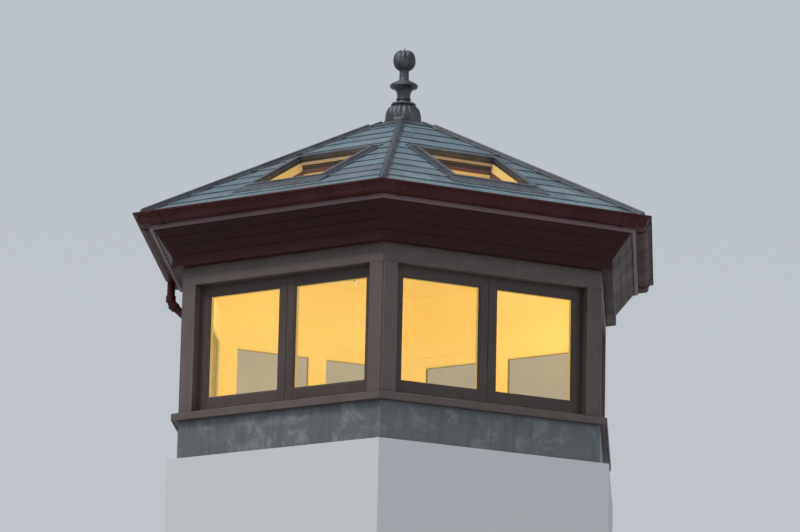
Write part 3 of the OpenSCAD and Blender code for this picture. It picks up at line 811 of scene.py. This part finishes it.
def bolt(shape, place, y):
    """A washer and a hexagon head, pointing down from a socket."""
    x, z = FASCIA + 0.62 * GUTTER_FLAT, GUTTER_FOOT - UNION_T
    for radius, count, low, top in ((0.0068, 16, -0.0012, 0.0004), (0.0052, 6, -0.0052, -0.0010)):
        shape.prism(circle(radius, count, x, y), z + low, z + top, place)


# Roof

def clip(outline, normal, limit):
    """The part of a convex outline where the reach along normal is under a limit."""
    kept = []
    for here, after in zip(outline, outline[1:] + outline[:1]):
        d0, d1 = (x * normal[0] + y * normal[1] - limit for x, y in (here, after))
        if d0 <= 0:
            kept.append(here)
        if (d0 < 0) != (d1 < 0) and d0 != d1:
            share = d0 / (d0 - d1)
            kept.append(tuple(a + share * (b - a) for a, b in zip(here, after)))
    return kept


def area(outline):
    return 0.5 * sum(a[0] * b[1] - b[0] * a[1] for a, b in zip(outline, outline[1:] + outline[:1]))


def inside_slope(outline, gap):
    """Cuts an outline on a slope to the hips."""
    half = cos(PITCH) * MITRE
    length = hypot(half, 1)
    for hand in (-1, 1):
        outline = clip(outline, (-half / length, hand / length), -gap)
        if len(outline) < 3:
            return []
    return outline


def round_rooflight(x0, x1, y0, y1, gap):
    """The rectangles that are left of a slate beside a rooflight."""
    top, foot, side = LIGHT_TOP - gap, LIGHT_END + gap, LIGHT_HALF + gap
    if x1 <= top or x0 >= foot or y1 <= -side or y0 >= side:
        return [(x0, x1, y0, y1)]
    beside = (max(x0, top), min(x1, foot))
    parts = ((x0, top, y0, y1), (foot, x1, y0, y1), (*beside, y0, -side), (*beside, side, y1))
    return [part for part in parts if part[0] < part[1] and part[2] < part[3]]


def lay(shape, place, outline, tail, lift, along="x"):
    """Lays a slate of a given outline, which rises towards its tail."""
    top = [(x, y, lift - (tail - x) * SLATE_TILT) for x, y in outline]
    shape.loft([[(x, y, z - SLATE_T) for x, y, z in top], top], place, along)


def slate_at(shape, place, head, tail, y):
    """One slate: a little lifted, slipped or broken at a corner, and cut to what it meets."""
    slip_odds, break_odds = 0.03, 0.14
    by_light, by_hip, least = 0.004, 0.006, 0.0006
    rng = shape.random
    lift = rng.uniform(-0.0008, 0.0004)
    slip = rng.uniform(-0.0025, 0.0)
    if rng.random() < slip_odds:
        slip -= rng.uniform(0.003, 0.007)
    for box in round_rooflight(head, tail + slip, y + SLATE_GAP, y + SLATE_W - SLATE_GAP, by_light):
        outline = oblong(*box)
        if rng.random() < break_odds:
            cut = rng.uniform(0.006, 0.015)
            hand = rng.choice((-1, 1))
            x, corner_y = outline[2] if hand > 0 else outline[1]
            outline = clip(outline, (1, hand), x + hand * corner_y - cut)
        outline = inside_slope(outline, by_hip)
        if len(outline) >= 3 and abs(area(outline)) >= least:
            lay(shape, place, outline, tail, lift)


def slope_of_slates(number):
    """The boarding of one slope and its slates, laid in half bond from the eaves."""
    name = SIDE_NAMES[number]
    shape = Shape("slates_" + name, SLATE, TIMBER, seed=101 + number)
    place = on_slope(number)
    highest, under_cap = 0.18, 0.02
    course, tail = 0, SLOPE_L
    while tail > CAP / cos(PITCH) - under_cap:
        head = max(tail - SLATE_GAUGE - SLATE_LAP, highest)
        last = ceil(tail * cos(PITCH) * MITRE / SLATE_W) + 1
        for k in range(-last, last + 1):
            slate_at(shape, place, head, tail, (k + (0.5 if course % 2 else 0.0)) * SLATE_W)
        course += 1
        tail -= SLATE_GAUGE
    # A strip of slate lies under the first course at the eaves
    strip, nose, gap = 0.13, 0.004, 0.001
    under = inside_slope(oblong(SLOPE_L - strip, SLOPE_L - nose, -SLOPE_L, SLOPE_L), 0.01)
    lay(shape, place, under, SLOPE_L, -SLATE_T - gap, "y")
    boarding(shape, number)
    shape.build(["roof_" + name], 0.0010, 1)


def boarding(shape, number):
    """The solid of the roof under the slates, with the hole for the rooflight."""
    top, inner, edge, joint = 0.019, 0.090, FASCIA + 0.012, 0.0005
    section = [(inner, roof_z(inner, ROOF_T)), (WALL, roof_z(WALL, ROOF_T)), (WALL, roof_z(WALL, DECK_T)),
               (edge, roof_z(edge, DECK_T)), (edge, roof_z(edge, top)), (inner, roof_z(inner, top))]
    place = on_slope(number)
    to_slope = place.inverted() @ on_side(number)
    points = [to_slope @ Vector((a, 0, z)) for a, z in section]
    slab = [(p.x, p.z) for p in points]
    above, below = -1, 9
    bands = ((above, LIGHT_TOP, (0,)), (LIGHT_TOP, LIGHT_END, (-1, 1)), (LIGHT_END, below, (0,)))
    for low, high, hands in bands:
        part = clip(clip(slab, (1, 0), high), (-1, 0), -low)
        to_hip = [(x * cos(PITCH) + z * sin(PITCH)) * MITRE - joint for x, z in part]
        for hand in hands:
            # Beside the rooflight, one end is at its side. Every other end is at a hip.
            loops = []
            for end in (-1, 1):
                loops.append([(x, hand * LIGHT_HALF if hand == -end else end * y, z)
                              for (x, z), y in zip(part, to_hip)])
            shape.loft(loops, place, "y", 1)


def hip_rolls():
    """Lead over each hip: a roll with wings dressed down on the slates."""
    shape = Shape("hip_leadwork", ROOF_LEAD, seed=53)
    fall = atan(sin(TURN / 2) * sin(PITCH) / (
        sin(PITCH) * cos(TURN / 2) * sin(HIP) + cos(PITCH) * cos(HIP)))
    start, end = along_hip(CAP + 0.001), along_hip(EAVE)
    gauge = along_hip(SLATE_GAUGE * cos(PITCH))
    lap_from, lap_t, dip_h, nose = start + 0.55 * (end - start), 0.0012, 0.0045, 0.012
    steps = 110
    for number in range(SIDES):
        loops = []
        for k in range(steps + 1):
            x = start + (end - start) * k / steps
            dip = dip_h * (((end - x) / gauge) % 1.0)
            lap = lap_t if x > lap_from else 0.0
            closing = max(0.0, min(1.0, (end - x) / nose))
            loops.append(hip_section(x, fall, dip, lap, 0.35 + 0.65 * sqrt(closing)))
        shape.loft(loops, on_hip(number), smooth=True)
        for share in (0.12, 0.32, 0.52, 0.72, 0.92):
            for hand in (-1, 1):
                clip_on_wing(shape, number, start + share * (end - start), hand, fall)
    shape.build(["hip_rolls"])


def hip_section(x, fall, dip, lap, size):
    """Across the hip: the wings lie on the slates, and the roll stands between them."""
    thick = 0.003 + lap
    radius = ROLL_R * size + lap
    middle = ROLL_R + 0.0003 if size > 0.99 else ROLL_R * size
    wings = []
    for hand in (-1, 1):
        wing = [(x, hand * HIP_W, -HIP_W * tan(fall) - dip + 0.0002)]
        for d, low in ((HIP_W, 1.0), (HIP_W * 0.72, 0.9), (ROLL_R * 1.3, 0.25)):
            wing.append((x, hand * d, -d * tan(fall) + thick - dip * low))
        wings.append(wing)
    roll = [(x, y, z) for y, z in arc(0, middle, radius, 205, -25, 12)]
    return wings[0] + roll + wings[1][::-1] + [(x, 0, -0.002)]


def clip_on_wing(shape, number, x, hand, fall):
    """A small lead clip folded over the edge of a wing."""
    place = on_hip(number) @ Matrix.Rotation(-hand * fall, 4, "X")
    edge, half = HIP_W / cos(fall), 0.02
    inner, outer = hand * (edge - 0.016), hand * (edge + 0.0015)
    shape.block((x - half, inner, -0.003), (x + half, outer, 0.0042), place)


def apex_cap():
    """Six gores of lead, welted together over the hips, with a beaded edge."""
    shape = Shape("apex_leadwork", ROOF_LEAD, seed=59)
    under = CAP_FLAT - CAP_T
    inner, bead_in, bead_back, top_in = 0.02, CAP - 0.002, CAP - 0.008, SEAT + 0.01
    shape.run([
        (inner, under), (SEAT, under), (bead_in, roof_z(bead_in, 0) + 0.0005), (CAP, roof_z(CAP, -0.001)),
        (CAP, roof_z(CAP, -0.0038)), (bead_back, roof_z(bead_back, -0.0042)),
        (top_in, roof_z(top_in, -0.0035)), (SEAT - 0.002, CAP_FLAT), (inner, CAP_FLAT)], joint=0)
    start, end = along_hip(SEAT), along_hip(CAP) - 0.001
    steps = 8
    for number in range(SIDES):
        loops = []
        for k in range(steps + 1):
            x = start + (end - start) * k / steps
            welt = circle(0.0085 + 0.0025 * k / steps, 12)
            loops.append([(x, y, 0.005 + 0.8 * z) for y, z in welt])
        shape.loft(loops, on_hip(number), smooth=True)
    shape.build(["apex_cap"], 0.0012)


def rooflight_flashings():
    """Flashings round the rooflights: gutters at the sides and head, a pleated apron below."""
    shape = Shape("rooflight_flashings", FLASHING, seed=61)
    low, top = -0.006, 0.0035
    side_w, head_w, upstand = 0.030, 0.055, 0.004
    span, steps = LIGHT_HALF + side_w, 72
    apron, pleat, pleat_h = LIGHT_END + 0.11, 0.022, 0.0016
    for number in range(SIDES):
        place = on_slope(number)
        for hand in (-1, 1):
            edge = hand * LIGHT_HALF
            shape.block((LIGHT_TOP - 0.03, edge, low), (LIGHT_END + 0.02, hand * span, top), place)
            shape.block((LIGHT_TOP, edge, 0.0), (LIGHT_END, edge + hand * upstand, 0.009), place)
        shape.block((LIGHT_TOP - head_w, -LIGHT_HALF, low), (LIGHT_TOP, LIGHT_HALF, top), place, "y")
        loops = []
        for k in range(steps + 1):
            y = -span + 2 * span * k / steps
            ripple = pleat_h * sin(2 * pi * y / pleat)
            loops.append([(LIGHT_END, y, -0.004), (apron, y, ripple - 0.0052), (apron, y, ripple + 0.0017),
                          (LIGHT_END + 0.02, y, ripple + 0.0045), (LIGHT_END, y, 0.010)])
        shape.loft(loops, place, "y")
    shape.build(bevel=0.0006, segments=1)


def mitred_ring(shape, inner, width, z0, z1, place, materials=(0, 0, 0, 0)):
    """Four mitred members round a rectangle on a slope: a side, the foot, a side, the head."""
    near, away = oblong(*inner), oblong(*grown(inner, width))
    for k in range(4):
        m = (k + 1) % 4
        outline = [near[k], away[k], away[m], near[m]]
        shape.prism(outline, z0, z1, place, "y" if k % 2 else "x", materials[k])


def rooflight_frames():
    """Dark metal covers outside. Under the glass: glowing cream sides and foot, a pale bar at the head, a
    dark band of painted shade at the head, and varnished boards at the head and sides that are partly real
    trim and partly painted shade.
    """
    shape = Shape("rooflight_sashes", METAL, GLOWING_CREAM, FLASHING, PALE_BAR, PAINTED_SHADE_WOOD, WOOD_AND_PAINTED_SHADE, seed=67)
    cream, seal, bar, shade_wood, wood_and_shade = range(1, 6)
    half = LIGHT_W / 2
    x0, x1 = LIGHT_TOP + LIGHT_FRAME, LIGHT_END - LIGHT_FRAME
    glass = (x0, x1, -half, half)
    sash, joint, seal_w = LIGHT_FRAME - LIGHT_RIM, 0.0012, 0.009
    rim, rim_top, cover_foot = grown(glass, sash + joint), LIGHT_UP - LIGHT_STEP, -0.030
    board, strip, board_top, board_foot = 0.012, 0.004, -0.080, -0.108
    # At the head: the pale bar, a dark strip of painted shade, and a varnished board, partly real trim and
    # partly painted shade
    bands = ((board, -0.047, -0.028, bar), (strip, board_top, -LIGHT_DOWN, shade_wood),
             (board, board_foot, board_top, wood_and_shade))
    for number in range(SIDES):
        place = on_slope(number)
        mitred_ring(shape, rim, LIGHT_RIM - joint, -LIGHT_DOWN, rim_top, place)
        mitred_ring(shape, glass, sash, cover_foot, LIGHT_UP, place)
        # Under the cover the head member is dark as painted shade, and the sides and foot are glowing cream
        mitred_ring(shape, glass, sash, -LIGHT_DOWN, cover_foot, place, (cream, cream, cream, shade_wood))
        mitred_ring(shape, grown(glass, -seal_w), seal_w, -0.006, -0.001, place, (seal, seal, seal, seal))
        for thick, foot, top, band in bands:
            shape.block((x0, -half, foot), (x0 + thick, half, top), place, "y", band)
        # Varnished boards down the sides, partly real trim and partly painted shade of the lining below
        # them
        for hand in (-1, 1):
            outer, inner = hand * half, hand * (half - strip)
            shape.block((x0 + board, outer, -0.140), (x1, inner, -0.085), place, "x", wood_and_shade)
    shape.build(["rooflight_frames"], 0.0015)


# Finial

BASE_R = 0.132
FOOT_H = 0.024
DOME_H = 0.108
DOME_LOBES = 16
LOBE_D = 0.008
RING_R = 0.087
RING_T = 0.022
STEM_H = 0.114
WAIST_R = 0.045
STEM_BEAD_R = 0.052
COLLAR_R = 0.097
COLLAR_T = 0.022
HOLLOW_H = 0.046
NECK_R = 0.033
NECK_H = 0.054
BALL_R = 0.079
BALL_LOW = 2 * BALL_R * 0.46
BALL_HIGH = 2 * BALL_R * 0.51
BALL_LOBES = 10
SPIKE_H = 0.0169

DOME_Z = CAP_FLAT + FOOT_H
RING_Z = DOME_Z + DOME_H
STEM_Z = RING_Z + RING_T
COLLAR_Z = STEM_Z + STEM_H
NECK_Z = COLLAR_Z + COLLAR_T + HOLLOW_H
BALL_FOOT = acos(NECK_R / BALL_R)
BALL_Z = NECK_Z + NECK_H + BALL_LOW * sin(BALL_FOOT)


def turned(shape, profile, count=72):
    """A closed solid turned round the axis from a profile of radii and heights."""
    least = 0.0004
    shape.loft([[(x, y, z) for x, y in circle(max(radius, least), count)] for radius, z in profile],
               along="z", smooth=True)


def lobed(shape, rows, lobes, each):
    """A turned form gathered into upright lobes: radius, height in the grooves, groove, rise."""
    loops = []
    for radius, z, groove, rise in rows:
        loop = []
        for k in range(lobes * each):
            swell = sin(pi * (k % each) / each)
            angle = 2 * pi * k / (lobes * each)
            reach = radius - groove * (1 - swell)
            loop.append((reach * cos(angle), reach * sin(angle), z + rise * swell))
        loops.append(loop)
    shape.loft(loops, along="z", smooth=True)


def bead(x, z, radius):
    """A half round that bulges from an upright face."""
    return arc(x, z, radius, -75, 75, 10)


def finial_base():
    """A gathered dome over a plain foot with an eased edge."""
    shape = Shape("finial_dome", FINIAL_LEAD, seed=81)
    ease = 0.003
    turned(shape, [(0, CAP_FLAT), (BASE_R, CAP_FLAT), (BASE_R, DOME_Z - ease),
                   (BASE_R - 0.3 * ease, DOME_Z - 0.3 * ease), (BASE_R - ease, DOME_Z), (0, DOME_Z)], 96)
    core, last, steps, shoulder = 0.060, radians(80), 22, 0.77
    reach = BASE_R - 2 * ease - core
    rows = [(core + reach, DOME_Z - ease, 0.0, 0.0)]
    for k in range(steps + 1):
        angle = last * k / steps
        rows.append((core + reach * cos(angle) ** shoulder,
                     DOME_Z + DOME_H * (sin(angle) / sin(last)) ** shoulder,
                     LOBE_D * sqrt(sin(pi * (k + 0.5) / (steps + 1))), 0.0))
    lobed(shape, rows, DOME_LOBES, 12)
    shape.build(["finial_base"])


def finial_stem():
    """The ring, the waisted stem with its bead, the collar and the neck."""
    shape = Shape("finial_shaft", FINIAL_LEAD, seed=83)
    bead_share, waist_share, shoulder_share, hollow_share = 0.26, 0.44, 0.58, 0.45
    ring = RING_R - RING_T / 2
    bead_r = 0.008
    bead_x, bead_z = STEM_BEAD_R - bead_r, STEM_Z + STEM_H * bead_share
    waist = (WAIST_R, STEM_Z + STEM_H * waist_share)
    ease = COLLAR_T / 4
    shoulder = (COLLAR_R * shoulder_share, COLLAR_Z + COLLAR_T + HOLLOW_H * hollow_share)
    neck_top = NECK_Z + NECK_H - 0.0003
    turned(shape, [(0, RING_Z), (ring, RING_Z)]
           + bead(ring, RING_Z + RING_T / 2, RING_T / 2)
           + [(ring, STEM_Z)]
           + quarter((bead_x + 2 * bead_r, STEM_Z), (bead_x, bead_z - bead_r), False)
           + bead(bead_x, bead_z, bead_r)
           + quarter((bead_x, bead_z + bead_r), waist, False)
           + quarter(waist, (COLLAR_R - ease, COLLAR_Z), True)[1:]
           + [(COLLAR_R, COLLAR_Z + ease), (COLLAR_R, COLLAR_Z + COLLAR_T - ease),
              (COLLAR_R - ease, COLLAR_Z + COLLAR_T)]
           + quarter(shoulder, (NECK_R, NECK_Z), False)
           + [(NECK_R, neck_top), (0, neck_top)])
    shape.build(["finial_stem"])


def finial_ball():
    """Lobes that end in free tips round a bud and a spike."""
    shape = Shape("finial_bud", FINIAL_LEAD, seed=89)
    steps, full, last = 16, 0.78, radians(60)
    groove, floor = 1.6 * LOBE_D, 0.64 * BALL_HIGH
    rows = []
    for k in range(steps + 1):
        angle = BALL_FOOT * (k / steps - 1)
        rows.append((BALL_R * cos(angle), BALL_Z + BALL_LOW * sin(angle),
                     LOBE_D * cos(angle) ** 2 if k else 0.0, 0.0))
    for k in range(1, steps + 1):
        angle, part = last * k / steps, (k / steps) ** 4
        z = BALL_HIGH * sin(angle) ** full
        rise = part * (z - floor)
        radius = BALL_R * cos(angle) ** full
        rows.append((radius, BALL_Z + z - rise, LOBE_D + part * (groove - LOBE_D), rise))
    # Over the tips and down inside them to the floor
    for radius, height, left in ((0.54, 0.94, 1), (0.46, 0.93, 1), (0.40, 0.86, 0.7), (0.36, 0.72, 0.5),
                                 (0.27, 0.64, 0)):
        rows.append((BALL_R * radius, BALL_Z + floor, groove * left, BALL_HIGH * height - floor))
    lobed(shape, rows, BALL_LOBES, 16)
    bud, spike = BALL_R * 0.16, 0.006
    low, top = BALL_Z + floor - spike, BALL_Z + BALL_HIGH
    turned(shape, [(0, low), (bud, low)] + quarter((bud, BALL_Z + 0.8 * BALL_HIGH), (spike, top), True)
           + [(0.002, top + SPIKE_H), (0, top + SPIKE_H)], 32)
    shape.build(["finial_ball"])


leadwork_on_kerb()
sill()
corner_posts()
for side in range(SIDES):
    window(side)
    paint("glass_" + SIDE_NAMES[side], GLOWING_PANE)
    slope_of_slates(side)
    gutter(side)
frieze()
plate_lining()
ledge()
soffit()
fascia()
hip_rolls()
apex_cap()
rooflight_flashings()
rooflight_frames()
finial_base()
finial_stem()
finial_ball()
paint("kerb", TIMBER)
paint("wall_plate", TIMBER)
paint("downpipe", IRON)
# The ceiling, boss and linings carry the cream's painted glow
paint("ceiling", GLOWING_CREAM)
paint("apex_boss", GLOWING_CREAM)
paint("rooflight_linings", GLOWING_CREAM)
paint("rooflight_glass", ROOF_PANE)


# Stage, light and camera

def stage():
    """A plain plinth under the kerb, and the floor that it stands on."""
    pale = stage_paint("stage_paint", (0.52, 0.53, 0.54))
    floor_z, across, gap = -24.0, 1.46, 0.002
    bpy.ops.mesh.primitive_cylinder_add(vertices=SIDES, radius=across / cos(TURN / 2),
                                        depth=-floor_z - gap, location=(0, 0, (floor_z - gap) / 2))
    plinth = bpy.context.object
    plinth.name = "stage_plinth"
    bpy.ops.mesh.primitive_circle_add(vertices=96, radius=180, fill_type="NGON", location=(0, 0, floor_z))
    floor = bpy.context.object
    floor.name = "stage_floor"
    for piece in (plinth, floor):
        piece.data.materials.append(pale)


def sky():
    """A soft even light, a little cooler above than at the horizon."""
    world = bpy.data.worlds.new("soft_light")
    bpy.context.scene.world = world
    world.use_nodes = True
    tree = world.node_tree
    where = add(tree, "ShaderNodeTexCoord").outputs["Generated"]
    height = add(tree, "ShaderNodeSeparateXYZ", {0: where}).outputs["Z"]
    colour = mix(tree, spread(tree, height, 0.0, 0.9), (0.74, 0.78, 0.82), (0.50, 0.58, 0.68))
    fill(tree, tree.nodes["Background"], {"Color": colour, "Strength": 0.75})


def lamp(name, kind, power, colour):
    data = bpy.data.lights.new(name, kind)
    data.energy = power
    data.color = colour
    return linked(name, data)


def aim(thing, direction, roll=0.0):
    """Points a lamp or the camera along a direction."""
    turned_by = Matrix.Rotation(roll, 3, "Z").to_quaternion()
    thing.rotation_mode = "QUATERNION"
    thing.rotation_quaternion = direction.to_track_quat("-Z", "Y") @ turned_by


def sun(name, direction, strength, colour, softness):
    made = lamp(name, "SUN", strength, colour)
    made.data.angle = radians(softness)
    aim(made, Vector(direction))


def lamp_inside(name, place):
    """A warm lamp in the room, which shows in no reflection."""
    made = lamp(name, "POINT", 24, (1.0, 0.74, 0.31))
    made.data.shadow_soft_size = 0.12
    made.location = place
    made.visible_glossy = False


def camera():
    """Looks up from thirty metres away, almost in front of a corner and a little to its right."""
    azimuth, elevation, roll = radians(3.79), radians(13.80), radians(1.26)
    far, axis_z, aim_z = 30.54, 1.8629, 1.52
    back = Vector((sin(azimuth) * cos(elevation), -cos(azimuth) * cos(elevation), -sin(elevation)))
    data = bpy.data.cameras.new("camera")
    data.sensor_width = 36
    data.lens = 200
    data.clip_end = 400
    made = linked("camera", data)
    made.location = Vector((0, 0, axis_z)) + back * far
    aim(made, Vector((0, 0, aim_z)) - made.location, roll)
    bpy.context.scene.camera = made


stage()
sky()
sun("key", (0.50, 0.55, -0.90), 2.2, (1.0, 0.98, 0.95), 24)
sun("fill", (-0.75, 0.55, 0.20), 0.5, (0.92, 0.96, 1.0), 40)
lamp_inside("lamp_left", (-0.55, -0.10, 1.15))
lamp_inside("lamp_right", (0.60, 0.20, 1.15))
camera()
bpy.context.scene.view_settings.view_transform = "Standard"
